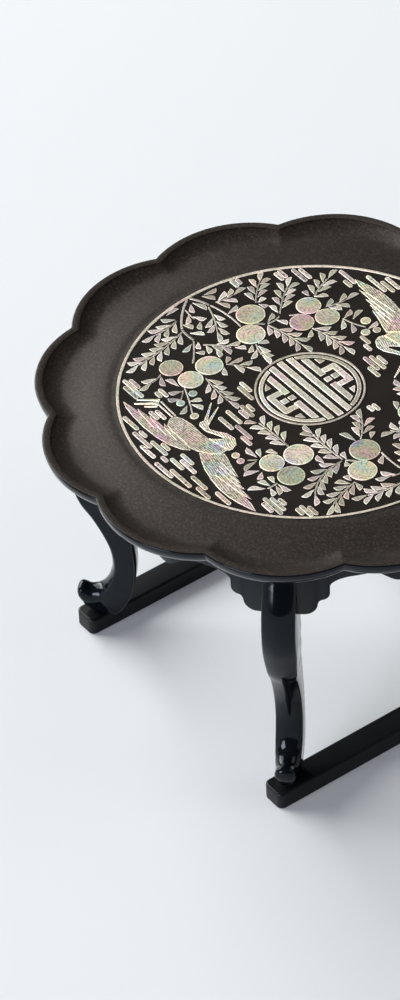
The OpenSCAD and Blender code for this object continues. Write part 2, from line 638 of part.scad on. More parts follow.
// Clouds: rows of round-ended bars along X; x, y, length
cloud_h = 2.6 * art;
clouds_twice = [
    [-11.5, -97.4, 8], [-41.5, -101, 15], [-29, -101, 7], [-13, -101, 16], [-25, -104.5, 18],
    [-3, -104.3, 6], [-14.5, -108, 14], [4.5, -110.2, 17], [5, -101, 12.5], [26.5, -100.8, 15],
    [11, -97.4, 15], [46, -98, 14], [35, -104.2, 13], [16.5, -106.8, 20], [5.5, -94, 12]];
clouds_once = [
    [-66, -81.6, 20], [-69, -78.4, 10], [-64, -84.8, 14], [-51.5, -70, 9], [-52, -73.2, 6],
    [-36.5, -82.8, 10], [-38.5, -86.2, 9], [70, -73.2, 7], [70, -76.4, 14], [69.5, -79.6, 18],
    [68.5, -82.8, 10], [87, -64, 9], [85, -67.2, 12], [83, -70.4, 7], [-25, -28.8, 11],
    [-20.5, -32.2, 15], [-8, -38, 7.5], [-7, -41.2, 13], [-6, -44.4, 9], [-7.5, -50.4, 15],
    [7, -54, 16], [-6, -57.4, 14], [14, -57.4, 10], [6.5, 49, 9.5], [6.5, 45.6, 15],
    [5, 42, 15], [12, 38.6, 11], [38, 20, 7], [37, 16.8, 6], [-52, 90, 19], [-45.5, 93.6, 13],
    [-68.2, 80.4, 16], [-63, 76.6, 8], [-87, 62.4, 12], [-88, 58.6, 15],
    [-95.5, 51.6, 9], [-95, 48.4, 9], [-106.5, 26.4, 6], [-106.5, 23.2, 8], [-14.5, 52.6, 9],
    [-8, 49.4, 7]];

module cloud_bar(c) {
    reach = (c[2] * art - cloud_h) / 2;
    translate([c[0], c[1]] * art) {
        square([2 * reach, cloud_h], center = true);
        for (side = [-1, 1]) translate([side * reach, 0]) circle(cloud_h / 2);
    }
}

module clouds() {
    color(pearl) shell_plate() {
        twice() for (c = clouds_twice) cloud_bar(c);
        for (c = clouds_once) cloud_bar(c);
    }
}

// Straight sliver that narrows from one width to another
module stroke(x0, y0, x1, y1, from, to) {
    d = [x1 - x0, y1 - y0] / norm([x1 - x0, y1 - y0]);
    n = [-d[1], d[0]] / 2 * art;
    a = [x0, y0] * art;
    b = [x1, y1] * art;
    polygon([a + n * from, a - n * from, b - n * to, b + n * to]);
}

// A flying crane: body, near wing, far wing, neck with head and open beak, legs and toes.
// Feather tips stand out along the wings, with slits between the feathers.
crane_body = [
    [-30, -81.2], [-29.4, -77], [-25, -74.8], [-18, -73.7], [-8, -74.2], [2, -73.5],
    [8.5, -72], [13.6, -71.3], [13.9, -75], [10.5, -80.3], [3, -85.3], [-2.2, -86.9],
    [-9, -86], [-20, -86.4], [-26.4, -85.2]];
crane_near_wing = [
    [-60, -93.1], [-53, -91.9], [-46, -91.6], [-49.6, -90.2], [-42, -89.6], [-36, -89.9],
    [-40, -88.4], [-32, -87.9], [-25.6, -88.2], [-29, -85.8], [-20, -86.8], [-9, -86.4],
    [-2.4, -87.3], [0, -87.9], [-4, -91.4], [-12, -94.7], [-22, -96.6], [-34, -97.2],
    [-46, -96.3], [-55, -94.9]];
crane_far_wing = [
    [14.4, -75.6], [15.4, -74.3], [19.4, -75.2], [28, -78], [36.8, -80.2], [33.2, -81.2],
    [41.8, -82.3], [38, -83.3], [47.6, -83.6], [43.4, -85.3], [57, -85.8], [50.4, -87.6],
    [60.6, -88.2], [66.8, -90], [62.5, -91.4], [55, -93.4], [46.9, -94.9], [37.5, -95],
    [28, -93.6], [18.8, -91.3], [12.5, -88.8], [5.2, -85.2], [11, -80.6]];
crane_neck = [
    [14, -70.8], [14.8, -68], [13, -64], [8, -61.4], [2, -62.4], [-3, -65.8], [-7.6, -68.2],
    [-11.6, -66.8], [-13.2, -70.7], [-8, -70.9], [-2, -68.2], [3.2, -66], [4.3, -67.4],
    [0.4, -72.1], [-1.4, -73.3], [2, -72.9], [8.5, -71.5]];
crane_slits = [
    [35.3, -81.2, 20, -80.4], [40.8, -83.1, 22, -83.2], [45.4, -85.1, 24, -86.2],
    [52.9, -87.4, 27, -89.6], [-48, -91.3, -30, -92.9], [-38.6, -89.5, -20, -91.2],
    [-27.1, -87.9, -12, -89.2]];
// Distance of the back crane from the front one's place turned by half a turn
crane_shift = [3.2, -7.6];

module crane() {
    color(pearl_green) shell_plate() {
        polygon(crane_body * art);
        difference() {
            union() {
                polygon(crane_near_wing * art);
                polygon(crane_far_wing * art);
            }
            for (c = crane_slits) stroke(c[0], c[1], c[2], c[3], 0.5, 0.1);
        }
        polygon(crane_neck * art);
        translate([-13.4, -68] * art) circle(2.8 * art);
        stroke(-14.8, -66, -26.2, -53.4, 2, 0.5);
        stroke(-12.6, -66, -20.6, -52.4, 2, 0.5);
        stroke(-30.4, -76.6, -46, -75.6, 0.8, 0.8);
        stroke(-30.6, -78.6, -44.6, -78.4, 0.8, 0.8);
        stroke(-48.6, -75.4, -43.8, -81, 1.2, 1.2);
        stroke(-48.2, -76.2, -56.4, -86, 1.5, 0.7);
        stroke(-46.4, -78.4, -54.4, -89.2, 1.5, 0.7);
        stroke(-44.4, -80.6, -48.6, -86, 1.3, 0.7);
    }
}

module crane_front() crane();
module crane_back() translate(crane_shift * art) rotate([0, 0, 180]) crane();

// ---------------------------------------------------------------- nodes

tray();
lacquer_ground();
border_ring();
medallion_ring();
medallion_band();
medallion_fret();
crane_front();
crane_back();
peaches();
berries();
leaves();
boughs();
clouds();
leg_front_right();
leg_back_right();
leg_back_left();
leg_front_left();
apron_right();
apron_back();
apron_left();
apron_front();
runner_right();
runner_left();
top_dowels();
foot_pegs();
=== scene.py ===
# Low tray table (soban): twelve-lobed lacquer tray with cut shell inlay on a cabriole stand.
# Sizes are in millimetres in this file and in metres in Blender (MM), apart from the lights and
# the floor, which are in metres here too. +Z is up.
import math
import random

import bmesh
import bpy
from mathutils import Matrix, Vector


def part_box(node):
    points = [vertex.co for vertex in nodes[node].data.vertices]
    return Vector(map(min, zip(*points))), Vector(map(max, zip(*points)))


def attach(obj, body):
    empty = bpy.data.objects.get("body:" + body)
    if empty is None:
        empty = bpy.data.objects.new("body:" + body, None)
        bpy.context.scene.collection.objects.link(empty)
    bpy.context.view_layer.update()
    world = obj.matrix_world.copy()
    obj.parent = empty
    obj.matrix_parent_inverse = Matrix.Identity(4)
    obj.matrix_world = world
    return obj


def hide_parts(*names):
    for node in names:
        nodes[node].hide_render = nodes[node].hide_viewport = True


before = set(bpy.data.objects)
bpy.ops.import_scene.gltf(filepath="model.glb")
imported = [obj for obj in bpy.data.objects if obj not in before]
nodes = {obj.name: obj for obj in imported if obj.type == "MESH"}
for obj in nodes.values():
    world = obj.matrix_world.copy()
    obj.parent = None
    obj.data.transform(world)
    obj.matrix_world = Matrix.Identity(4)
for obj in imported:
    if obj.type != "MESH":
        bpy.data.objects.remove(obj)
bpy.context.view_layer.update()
scene = bpy.context.scene
MM = 0.001
DEG = math.pi / 180

# ------------------------------------------------------------------ camera

AIM_HEIGHT = 202.7  # the camera was placed about the middle of the inlaid field
CAMERA_AZIMUTH = 54.2  # degrees from -Y towards +X
CAMERA_ELEVATION = 40.648
CAMERA_DISTANCE = 2963.9
CAMERA_YAW = 1.307  # turned from the line to the middle, left or right
CAMERA_PITCH = -1.235
CAMERA_ROLL = 2.181
CAMERA_LENS = 180.22
SENSOR_WIDTH = 36


def make_camera():
    """Camera on an orbit round the aim, turned a little off it by yaw, pitch and roll."""
    data = bpy.data.cameras.new("camera")
    data.lens = CAMERA_LENS
    data.sensor_width = SENSOR_WIDTH
    data.clip_start = 0.1
    data.clip_end = 50
    camera = bpy.data.objects.new("camera", data)
    scene.collection.objects.link(camera)
    orbit = Matrix.Rotation(CAMERA_AZIMUTH * DEG, 4, "Z")
    orbit = orbit @ Matrix.Rotation((90 - CAMERA_ELEVATION) * DEG, 4, "X")
    turned_off = Matrix.Rotation(CAMERA_YAW * DEG, 4, "Y") @ Matrix.Rotation(CAMERA_PITCH * DEG, 4, "X")
    turned_off = turned_off @ Matrix.Rotation(-CAMERA_ROLL * DEG, 4, "Z")
    place = Vector((0, 0, AIM_HEIGHT)) + orbit @ Vector((0, 0, CAMERA_DISTANCE))
    camera.matrix_world = Matrix.Translation(place * MM) @ orbit @ turned_off
    scene.camera = camera


make_camera()
scene.view_settings.view_transform = "Standard"

# ------------------------------------------------------------------ materials


class Nodes:
    """The node tree of a material or a world, with short ways to add and join nodes."""

    def __init__(self, owner):
        owner.use_nodes = True
        self.tree = owner.node_tree

    def add(self, kind, **values):
        node = self.tree.nodes.new(kind)
        for key, value in values.items():
            setattr(node, key, value)
        return node

    def join(self, out, socket):
        self.tree.links.new(out, socket)

    def put(self, value, socket):
        """Links an output, or sets a constant, on a socket."""
        if isinstance(value, bpy.types.NodeSocket):
            self.join(value, socket)
        else:
            socket.default_value = value

    def split(self, vector):
        """The three numbers of a vector."""
        node = self.add("ShaderNodeSeparateXYZ")
        self.join(vector, node.inputs[0])
        return node.outputs[:]

    def ramp(self, value, stops):
        """Colours at stops, each a place from 0 to 1 and a colour."""
        node = self.add("ShaderNodeValToRGB")
        ramp = node.color_ramp
        while len(ramp.elements) < len(stops):
            ramp.elements.new(0.5)
        for element, (place, colour) in zip(ramp.elements, stops):
            element.position = place
            element.color = (*colour, 1)
        self.join(value, node.inputs["Fac"])
        return node.outputs["Color"]

    def spread(self, value, low, high, from_low=0.0, from_high=1.0):
        """Takes the value's range from_low to from_high to the range low to high."""
        node = self.add("ShaderNodeMapRange")
        self.join(value, node.inputs["Value"])
        node.inputs["From Min"].default_value = from_low
        node.inputs["From Max"].default_value = from_high
        node.inputs["To Min"].default_value = low
        node.inputs["To Max"].default_value = high
        return node.outputs["Result"]

    def math(self, operation, a, b=None):
        node = self.add("ShaderNodeMath", operation=operation)
        self.put(a, node.inputs[0])
        if b is not None:
            self.put(b, node.inputs[1])
        return node.outputs[0]

    def length(self, x, y):
        squares = self.math("ADD", self.math("MULTIPLY", x, x), self.math("MULTIPLY", y, y))
        return self.math("SQRT", squares)

    def mix(self, factor, a, b, blend="MIX"):
        """Mix of two colours; sockets 6 and 7 are the colours A and B of a Mix node."""
        node = self.add("ShaderNodeMix", data_type="RGBA", blend_type=blend)
        self.put(factor, node.inputs[0])
        for value, socket in ((a, node.inputs[6]), (b, node.inputs[7])):
            self.put((*value, 1) if isinstance(value, tuple) else value, socket)
        return node.outputs[2]


class Material(Nodes):
    """A material made of one Principled shader."""

    def __init__(self, name):
        self.mat = bpy.data.materials.new(name)
        super().__init__(self.mat)
        self.bsdf = self.tree.nodes["Principled BSDF"]
        self.coords = self.add("ShaderNodeTexCoord").outputs["Object"]

    def noise(self, scale, detail=3, roughness=0.5, stretch=None):
        coords = self.coords
        if stretch:
            mapping = self.add("ShaderNodeMapping")
            mapping.inputs["Scale"].default_value = stretch
            self.join(coords, mapping.inputs["Vector"])
            coords = mapping.outputs[0]
        node = self.add("ShaderNodeTexNoise")
        self.join(coords, node.inputs["Vector"])
        node.inputs["Scale"].default_value = scale
        node.inputs["Detail"].default_value = detail
        node.inputs["Roughness"].default_value = roughness
        return node.outputs["Fac"]

    def bump(self, height, strength, distance, before=None):
        """Bump of a depth in millimetres, over an earlier one."""
        node = self.add("ShaderNodeBump")
        node.inputs["Strength"].default_value = strength
        node.inputs["Distance"].default_value = distance * MM
        self.join(height, node.inputs["Height"])
        if before:
            self.join(before, node.inputs["Normal"])
        return node.outputs["Normal"]

    def set(self, **sockets):
        for name, value in sockets.items():
            self.put(value, self.bsdf.inputs[name.replace("_", " ")])
        return self.mat


def gloss_lacquer():
    """Black lacquer, brushed and polished: a deep gloss with a faint unevenness."""
    m = Material("gloss_lacquer")
    cloudy = m.noise(scale=22, detail=4)
    colour = m.ramp(cloudy, [(0.3, (0.0026, 0.0037, 0.0055)), (0.7, (0.0042, 0.0056, 0.0078))])
    smudge = m.noise(scale=60, detail=5, roughness=0.62)
    slow = m.bump(m.noise(scale=14, detail=2), strength=0.18, distance=1.4)
    grain = m.bump(m.noise(scale=900, detail=2), strength=0.05, distance=0.02, before=slow)
    return m.set(Base_Color=colour, Roughness=m.spread(smudge, 0.07, 0.14, 0.3, 0.7), Normal=grain,
                 Specular_IOR_Level=0.2, Specular_Tint=(0.88, 0.95, 1, 1))


def satin_black():
    """Black lacquer of the runners, rubbed down to a low sheen."""
    m = Material("satin_black")
    cloudy = m.noise(scale=30, detail=4)
    colour = m.ramp(cloudy, [(0.3, (0.0036, 0.0046, 0.0058)), (0.7, (0.0058, 0.0070, 0.0084))])
    rubbed = m.noise(scale=1, detail=4, roughness=0.6, stretch=(260, 18, 260))
    grain = m.bump(m.noise(scale=700, roughness=0.6), strength=0.12, distance=0.03)
    return m.set(Base_Color=colour, Roughness=m.spread(rubbed, 0.3, 0.42, 0.3, 0.7), Normal=grain,
                 Specular_IOR_Level=0.2)


def tray_brown():
    """Dark brown lacquer of the tray: a dull sheen over a fine speckled grain."""
    m = Material("tray_brown")
    cloudy = m.noise(scale=9, detail=4, roughness=0.6)
    colour = m.ramp(cloudy, [(0.3, (0.0170, 0.0134, 0.0108)), (0.7, (0.0226, 0.0176, 0.0142))])
    speckle = m.noise(scale=620, roughness=0.8)
    colour = m.mix(m.spread(speckle, 0, 0.9, 0.5, 0.68), colour, (0.060, 0.050, 0.043))
    colour = m.mix(m.spread(speckle, 0.8, 0, 0.34, 0.46), colour, (0.008, 0.006, 0.005))
    dull = m.noise(scale=26, detail=4, roughness=0.6)
    grain = m.bump(m.noise(scale=560, roughness=0.7), strength=0.5, distance=0.09)
    return m.set(Base_Color=colour, Roughness=m.spread(dull, 0.38, 0.45, 0.3, 0.7), Normal=grain,
                 Specular_IOR_Level=0.34, Specular_Tint=(1, 0.9, 0.84, 1))


def ground_lacquer():
    """Near-black ground between the shell pieces."""
    m = Material("ground_lacquer")
    cloudy = m.noise(scale=40, detail=4)
    colour = m.ramp(cloudy, [(0.3, (0.0120, 0.0096, 0.0076)), (0.7, (0.0180, 0.0142, 0.0112))])
    grain = m.bump(m.noise(scale=800, roughness=0.7), strength=0.2, distance=0.04)
    roughness = m.spread(m.noise(scale=90), 0.36, 0.48, 0.3, 0.7)
    return m.set(Base_Color=colour, Roughness=roughness, Normal=grain, Specular_IOR_Level=0.12)


def bamboo():
    """Split bamboo of the dowels and pegs, with its fibres along Z."""
    m = Material("bamboo")
    fibres = m.noise(scale=1, detail=4, roughness=0.6, stretch=(1400, 1400, 40))
    colour = m.ramp(fibres, [(0.3, (0.27, 0.16, 0.055)), (0.7, (0.50, 0.34, 0.14))])
    return m.set(Base_Color=colour, Roughness=0.55, Normal=m.bump(fibres, strength=0.4, distance=0.05))


# Body colours of cut shell, and the colours that it flashes
PEARL_HUES = [
    (0.00, (0.70, 0.62, 0.51)), (0.16, (0.71, 0.57, 0.49)), (0.32, (0.60, 0.55, 0.43)),
    (0.46, (0.61, 0.60, 0.49)), (0.60, (0.80, 0.74, 0.66)), (0.76, (0.69, 0.57, 0.54)),
    (0.88, (0.57, 0.53, 0.51)), (1.00, (0.77, 0.63, 0.50))]
FIRE_HUES = [
    (0.28, (0.52, 0.44, 0.68)), (0.35, (0.45, 0.58, 0.68)), (0.42, (0.50, 0.68, 0.52)),
    (0.49, (0.68, 0.68, 0.46)), (0.55, (0.78, 0.64, 0.50)), (0.61, (0.82, 0.55, 0.60)),
    (0.70, (0.72, 0.48, 0.64))]
# Colour of the dark filling in the engraved lines
LINE_FILL = (0.085, 0.07, 0.055)
# Each solid of shell has a map "piece", laid out from its middle along its longest spread. One
# unit of it is this many millimetres.
PIECE_UNIT = 10
# Middle of the arcs on a fruit, on that map
ARC_X, ARC_Y = 0.72, 0.25
# How far the engraved lines stray, on that map
FEATHER_STRAY, ARC_STRAY = 0.24, 0.7


def engraved(m, x, y, cut, pitch):
    """Share of the surface that is cut away by fine lines: dots, feathers or arcs. The lines
    are a pitch apart, in millimetres."""
    if cut == "dots":
        return m.spread(m.noise(scale=480, detail=2, roughness=0.6), 0, 1, 0.57, 0.63)
    bend = m.math("SUBTRACT", m.noise(scale=90, detail=2), 0.5)
    half_turns = math.pi * PIECE_UNIT / pitch
    if cut == "feathers":
        run = m.math("ADD", y, m.math("MULTIPLY", bend, FEATHER_STRAY))
        wave = m.math("ABSOLUTE", m.math("SINE", m.math("MULTIPLY", run, half_turns)))
        broken = m.spread(m.noise(scale=360, roughness=0.7), 0.3, 1, 0.38, 0.5)
        nicks = m.spread(m.noise(scale=520, detail=2, roughness=0.6), 0, 0.8, 0.55, 0.62)
        return m.math("MAXIMUM", m.math("MULTIPLY", m.spread(wave, 1, 0, 0.4, 0.8), broken), nicks)
    run = m.length(m.math("SUBTRACT", x, ARC_X), m.math("SUBTRACT", y, ARC_Y))
    run = m.math("ADD", run, m.math("MULTIPLY", bend, ARC_STRAY))
    wave = m.math("ABSOLUTE", m.math("SINE", m.math("MULTIPLY", run, half_turns)))
    broken = m.spread(m.noise(scale=260, roughness=0.7), 0, 1, 0.47, 0.56)
    return m.math("MULTIPLY", m.spread(wave, 1, 0, 0.12, 0.42), broken)


def shell(name, tint=(1, 1, 1), play=0.35, fire=0.4, cut=None, depth=0.5, pitch=1.6):
    """Polished shell: each solid has its own hue, which drifts over it by the share play, with
    flashes of other colours (fire), a painted highlight that lightens each solid's edge and
    fine engraving that shows dark (cut, depth, pitch)."""
    m = Material(name)
    hue_chance, level_chance, _ = m.split(m.add("ShaderNodeUVMap", uv_map="chance").outputs["UV"])
    x, y, _ = m.split(m.add("ShaderNodeUVMap", uv_map="piece").outputs["UV"])
    edge = m.add("ShaderNodeAttribute", attribute_name="edge").outputs["Fac"]
    drift = m.noise(scale=75, roughness=0.6)
    hue = m.math("ADD", m.math("MULTIPLY", hue_chance, 1 - play), m.math("MULTIPLY", drift, play))
    colour = m.ramp(hue, PEARL_HUES)
    flash = m.ramp(m.noise(scale=58, roughness=0.55), FIRE_HUES)
    where = m.spread(m.noise(scale=95, roughness=0.6), 0, 1, 0.60 - 0.28 * fire, 0.72 - 0.2 * fire)
    colour = m.mix(m.math("MULTIPLY", where, 0.35 + 0.6 * fire), colour, flash)
    mottle = m.noise(scale=760, roughness=0.65)
    # Each solid brighter or darker at random: partly the shell's own tone, partly a painted reflection of
    # how each piece's nacre catches the light; then mottled.
    level = m.math("MULTIPLY", m.spread(level_chance, 0.7, 1.12), m.spread(mottle, 0.7, 1.3, 0.3, 0.7))
    # Painted highlight: the colour is doubled along each solid's edge and dimmed in its middle.
    level = m.math("MULTIPLY", level, m.spread(edge, 0.8, 2.0))
    bright = m.add("ShaderNodeCombineXYZ")
    for socket in bright.inputs:
        m.join(level, socket)
    colour = m.mix(1.0, colour, bright.outputs[0], "MULTIPLY")
    colour = m.mix(1.0, colour, tint, "MULTIPLY")
    if cut:
        lines = m.math("MULTIPLY", engraved(m, x, y, cut, pitch), depth)
        # The engraving fades out towards the edge, leaving the painted highlight clear.
        lines = m.math("MULTIPLY", lines, m.spread(edge, 1, 0.25))
        colour = m.mix(lines, colour, LINE_FILL)
    polish = m.bump(m.noise(scale=420), strength=0.12, distance=0.05)
    return m.set(Base_Color=colour, Roughness=m.spread(mottle, 0.2, 0.34), Normal=polish,
                 Specular_IOR_Level=0.38, Coat_Weight=0.1, Coat_Roughness=0.12)


GLOSS = gloss_lacquer()
BLACK = satin_black()
SATIN = tray_brown()
GROUND = ground_lacquer()
BAMBOO = bamboo()
SHELL_RING = shell("shell_ring", tint=(1.08, 1.03, 0.97), fire=0.1, play=0.8)
SHELL_BOUGH = shell("shell_bough", tint=(0.8, 0.78, 0.78), fire=0.15, play=0.8)
SHELL_BAR = shell("shell_bar", tint=(1.14, 1.12, 1.12), fire=0.4, play=0.75, cut="dots", depth=0.3)
SHELL_LEAF = shell("shell_leaf", fire=0.22)
SHELL_CLOUD = shell("shell_cloud", tint=(1.04, 1.01, 1), fire=0.4, cut="dots", depth=0.85)
SHELL_FRUIT = shell("shell_fruit", tint=(1.14, 1.1, 1.02), play=0.75, fire=0.8,
                    cut="arcs", depth=0.8, pitch=2.4)
SHELL_BIRD = shell("shell_bird", tint=(1.66, 1.6, 1.56), play=0.7, fire=0.7,
                   cut="feathers", depth=0.92, pitch=1.3)

for node, material in (("foot_pegs", BAMBOO), ("lacquer_ground", GROUND)):
    nodes[node].data.materials.clear()
    nodes[node].data.materials.append(material)

# ------------------------------------------------------------------ sizes


def box_mm(node):
    """Lowest and highest corners of a node of the model, in millimetres."""
    return [[round(c / MM, 3) for c in corner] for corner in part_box(node)]


# Levels and places that the solids' boxes give
tray_low, tray_high = box_mm("tray")
apron_low, apron_high = box_mm("apron_right")
runner_low, runner_high = box_mm("runner_right")
TABLE_H = tray_high[2]
UNDER_Z = tray_low[2]
RECESS_Z = box_mm("lacquer_ground")[0][2]  # floor of the tray's recess
FIELD_Z = box_mm("border_ring")[1][2]  # top of the shell
APRON_R = apron_high[0]  # outer face
APRON_LOW = apron_low[2]
RUNNER_H = runner_high[2]
RUNNER_W = runner_high[0] - runner_low[0]
RUNNER_HALF_L = runner_high[1]
RUNNER_X = (runner_low[0] + runner_high[0]) / 2
FOOT_REACH = RUNNER_X * math.sqrt(2)  # the toe line's distance from the middle, along the diagonal

# The rest, as in the model's source
TRAY_D = 330  # across two opposite lobe tips
LOBES = 12
LOBE_SWELL = 14.4  # of a lobe beyond the cusps beside it
BAND_W = 4.9  # flat band round the rim
WALL_H = 5.4  # upright outer wall of the rim
WALL_LEAN = 1
UNDER_W = 13  # carved underside of the rim
COVE_D = 4
COVE_W = 12  # curved foot of the band
BAND_STEP = 0.8  # upright step at the band's inner edge
RIM_R = 0.8
FIELD_R = 115.1
FIELD_MARGIN = 1.7
SHOULDER_W = 20
ANKLE_W = 16.4
TOE_W = 13.2
FRONT_BOW = 3.6
BACK_R = 1.6
DOWEL_R = 2.9
DOWEL_L = 12  # inside the leg
DOWEL_UP = 5  # inside the tray
APRON_T = 7
TONGUE = 2.6  # how far an apron enters the leg
GROOVE_GAP = 0.15
SCROLL_1, SCROLL_2 = 22, 29.3  # distance of the two scrolls' edges from the leg's middle
SCROLL_1_R, SCROLL_2_R = 8, 5
SCROLL_1_LEAN = 0.9
SCROLL_2_UP = 6
SCROLL_RISE = 10
ARCH_RISE = 27.6
ARCH_HALF = 14
ARCH_LEAN = 0.1
ARCH_CURVE = 6.8
DROP_DEPTH = 10.8
DROP_HALF = 18.5
RUNNER_R = 4
RUNNER_EASE = 1.5

# Only in the scene: eased edges, the slope from the field's edge and the place of the top dowels
MID_EASE = 0.3  # share of its size that an eased edge's middle point is drawn in by
RECESS_EASE = 0.1
BAND_EASE = 0.25
WALL_FOOT = ((0.93, 0.35), (1.12, 0.08))  # eased foot of the wall: share of the lean, height
UNDER_EASE = 0.5
LEG_EASE = 0.9
APRON_EASE = 0.5
RUNNER_FOOT_EASE = 0.3
RISE_END = 148  # radius at which the slope from the field ends
DOWEL_IN = 5  # how far inside the toe line the dowels stand, to stay covered by the drawn-in necks

# ------------------------------------------------------------------ meshes


def mesh_piece(name, verts, faces, material, smooth_below=35):
    """New object from points in millimetres; edges under the angle are shaded smooth."""
    mesh = bpy.data.meshes.new(name)
    mesh.from_pydata([Vector(p) * MM for p in verts], [], faces)
    mesh.materials.append(material)
    mesh.shade_smooth()
    mesh.set_sharp_from_angle(angle=smooth_below * DEG)
    piece = bpy.data.objects.new(name, mesh)
    scene.collection.objects.link(piece)
    return piece


def loft(rings):
    """Closed skin over a row of rings with the same number of points each."""
    n = len(rings[0])
    verts = [p for ring in rings for p in ring]
    faces = [(i * n + j, i * n + (j + 1) % n, (i + 1) * n + (j + 1) % n, (i + 1) * n + j)
             for i in range(len(rings) - 1) for j in range(n)]
    faces.append(tuple(range(n - 1, -1, -1)))
    faces.append(tuple((len(rings) - 1) * n + j for j in range(n)))
    return verts, faces


def turned(points, degrees):
    """The points turned about the middle of the table."""
    c, s = math.cos(degrees * DEG), math.sin(degrees * DEG)
    return [(x * c - y * s, x * s + y * c, z) for x, y, z in points]


# ------------------------------------------------------------------ tray

LOBE_STEPS = 48
RING_POINTS = LOBES * LOBE_STEPS
ARC_STEPS = 12


def rise_at(x, w, h):
    """Height at a distance x of the arc that rises by h over a width w from a level start."""
    r = (w * w + h * h) / (2 * h)
    return r - math.sqrt(r * r - x * x)


def lobe_ring(d, z):
    """Ring along the lobed rim, a distance d inside it, from the cusp on the +X axis."""
    half_chord = (TRAY_D / 2 - LOBE_SWELL) * math.tan(math.pi / LOBES)
    lobe_r = (half_chord ** 2 + LOBE_SWELL ** 2) / (2 * LOBE_SWELL)
    lobe_c = TRAY_D / 2 - lobe_r
    lobe_a = 2 * math.pi / LOBES
    ring = []
    for i in range(LOBES):
        for k in range(LOBE_STEPS):
            a = lobe_a * (k / LOBE_STEPS - 0.5)
            turn = lobe_a * (i + k / LOBE_STEPS)
            reach = lobe_c * math.cos(a) + math.sqrt((lobe_r - d) ** 2 - (lobe_c * math.sin(a)) ** 2)
            ring.append((reach * math.cos(turn), reach * math.sin(turn), z))
    return ring


def round_ring(r, z):
    turns = [2 * math.pi * j / RING_POINTS for j in range(RING_POINTS)]
    return [(r * math.cos(turn), r * math.sin(turn), z) for turn in turns]


def slope(t):
    """From 0 to 1, halfway between a straight slope and one with level ends."""
    return (t + t * t * (3 - 2 * t)) / 2


def risen(ring, cove=0):
    """The ring at a height over the cove's floor, on the gentle round rise towards the field."""
    edge_r = FIELD_R + FIELD_MARGIN
    floor_z = TABLE_H - COVE_D
    lifted = []
    for x, y, _ in ring:
        t = max(0, min(1, (RISE_END - math.hypot(x, y)) / (RISE_END - edge_r)))
        z = floor_z + cove + slope(t) * (FIELD_Z - floor_z)
        lifted.append((x, y, min(z, TABLE_H - BAND_STEP)))
    return lifted


def make_tray():
    """One loft, from the recess of the field out over the slope, the cove and the rim, and down
    to the flat underside."""
    edge_ring = round_ring(FIELD_R + FIELD_MARGIN, 0)
    half_lobe = RING_POINTS // (2 * LOBES)
    edge_ring = edge_ring[-half_lobe:] + edge_ring[:-half_lobe]
    cove_ring = lobe_ring(BAND_W + COVE_W, 0)
    wall_foot = TABLE_H - WALL_H
    rings = [round_ring(FIELD_R, RECESS_Z), round_ring(FIELD_R, FIELD_Z - RECESS_EASE),
             round_ring(FIELD_R + RECESS_EASE, FIELD_Z)]
    for k in range(ARC_STEPS):
        t = k / ARC_STEPS
        rings.append(risen([(a[0] * (1 - t) + b[0] * t, a[1] * (1 - t) + b[1] * t, 0)
                            for a, b in zip(edge_ring, cove_ring)]))
    for k in range(ARC_STEPS + 1):
        x = COVE_W * k / ARC_STEPS
        rings.append(risen(lobe_ring(BAND_W + COVE_W - x, 0), rise_at(x, COVE_W, COVE_D - BAND_STEP)))
    for inside, drop in ((0, 1), (MID_EASE, MID_EASE), (1, 0)):
        rings.append(lobe_ring(BAND_W - BAND_EASE * inside, TABLE_H - BAND_EASE * drop))
    black_from = len(rings) + 1
    for a in range(90, -1, -15):
        c, s = math.cos(a * DEG), math.sin(a * DEG)
        rings.append(lobe_ring(RIM_R * (1 - c), TABLE_H - RIM_R * (1 - s)))
    rings += [lobe_ring(WALL_LEAN * lean, wall_foot + up) for lean, up in WALL_FOOT]
    for k in range(ARC_STEPS, -1, -1):
        x = (UNDER_W - UNDER_EASE) * k / ARC_STEPS
        rings.append(lobe_ring(WALL_LEAN + UNDER_W - x, UNDER_Z + rise_at(x, UNDER_W, wall_foot - UNDER_Z)))
    verts, faces = loft(rings)
    tray = mesh_piece("tray_lacquered", verts, faces, SATIN, 28)
    tray.data.materials.append(GLOSS)
    for face in tray.data.polygons:
        if min(face.vertices) >= black_from * RING_POINTS:
            face.material_index = 1
    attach(tray, "root")
    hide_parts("tray")


make_tray()

# ------------------------------------------------------------------ legs and their dowels

LEGS = (("front_right", -45), ("back_right", 45), ("back_left", 135), ("front_left", -135))
LEG_H = UNDER_Z - RUNNER_H
HALF_TOP, HALF_ANKLE, HALF_TOE = SHOULDER_W / 2, ANKLE_W / 2, TOE_W / 2
